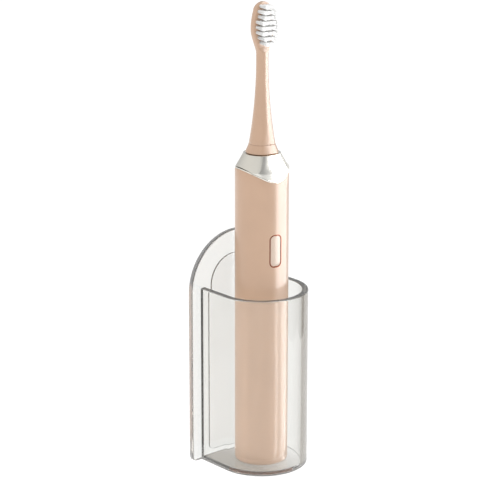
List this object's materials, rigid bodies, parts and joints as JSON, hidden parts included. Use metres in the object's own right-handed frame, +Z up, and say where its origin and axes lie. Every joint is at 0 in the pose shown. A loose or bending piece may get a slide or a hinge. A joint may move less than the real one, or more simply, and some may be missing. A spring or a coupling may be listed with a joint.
{
  "type": "electric toothbrush in wall cup",
  "caption": "Slim sonic toothbrush with a plated collar, side button and pull-off brush head, standing in a clear wall-mounted cup with an arched back plate.",
  "frame": {"origin": "centre of the adhesive pad's back face, on the wall plane", "axes": "+Z up along the brush, +Y into the wall, -Y out towards the user, +X to the right of someone facing the wall"},
  "size_m": [0.0606, 0.049, 0.247],
  "materials": {
    "clear_acrylic": "polished, clear",
    "pad_gel": "translucent gel",
    "champagne_plastic": "satin pearl",
    "silver_plating": "satin plated",
    "bright_trim": "polished",
    "copper_trim": "satin copper",
    "bristle_white": "nylon",
    "anchor_brass": "bright",
    "black_rubber": "matt",
    "clear_silicone": "translucent",
    "frame_plastic": "matt",
    "steel": "brushed",
    "cell_sleeve": "shrink sleeve",
    "nickel": "nickel",
    "board_green": "solder mask",
    "chip_black": "moulded",
    "copper_winding": "enamelled",
    "bobbin_plastic": "matt",
    "ferrite": "sintered",
    "wire_red": "insulated",
    "bush_bronze": "sintered",
    "magnet": "nickel plated"
  },
  "bodies": {
    "holder": {"back_plate": "clear_acrylic", "cup_wall": "clear_acrylic", "cup_floor": "clear_acrylic", "adhesive_pad": "pad_gel"},
    "handle": {"handle_housing": "champagne_plastic", "collar": "silver_plating", "collar_trim": "bright_trim", "bottom_cap": "champagne_plastic", "base_seal": "black_rubber", "button_bezel": "copper_trim", "button_seal": "clear_silicone", "chassis": "frame_plastic", "motor_clamp": "frame_plastic", "board_screws": "steel", "battery_cell": "cell_sleeve", "battery_tabs": "nickel", "circuit_board": "board_green", "board_parts": "chip_black", "tact_switch": "nickel", "lead_wires": "wire_red", "charging_coil": "copper_winding", "coil_bobbin": "bobbin_plastic", "coil_shield": "ferrite", "motor_can": "steel", "motor_end_cap": "chip_black", "motor_coil": "copper_winding", "motor_dampers": "black_rubber", "front_bush": "bush_bronze", "rear_bush": "bush_bronze", "shaft_seal": "black_rubber"},
    "button": {"button_cap": "champagne_plastic", "switch_plunger": "chip_black"},
    "drive": {"drive_shaft": "steel", "rotor_magnet": "magnet"},
    "brush_head": {"brush_sleeve": "champagne_plastic", "base_ring": "champagne_plastic", "shaft_socket": "bobbin_plastic", "outer_tufts": "bristle_white", "inner_tufts": "bristle_white", "tuft_anchors": "anchor_brass"}
  },
  "joints": [
    {"name": "brush_lift", "type": "slide", "parent": "holder", "child": "handle", "axis": [0, 0, 1], "range_m": [0, 0.11]},
    {"name": "button_press", "type": "slide", "parent": "handle", "child": "button", "axis": [0.1685, 0.9857, 0], "range_m": [0, 0.0005], "stiffness_N_per_m": 900, "springref_m": -0.0006},
    {"name": "shaft_swing", "type": "hinge", "parent": "handle", "child": "drive", "pos_m": [0, -0.0245, 0.09], "axis": [0, 0, 1], "range_deg": [-5, 5], "stiffness_Nm_per_rad": 0.02},
    {"name": "head_pull", "type": "slide", "parent": "drive", "child": "brush_head", "axis": [0, 0, 1], "range_m": [0, 0.03]}
  ]
}
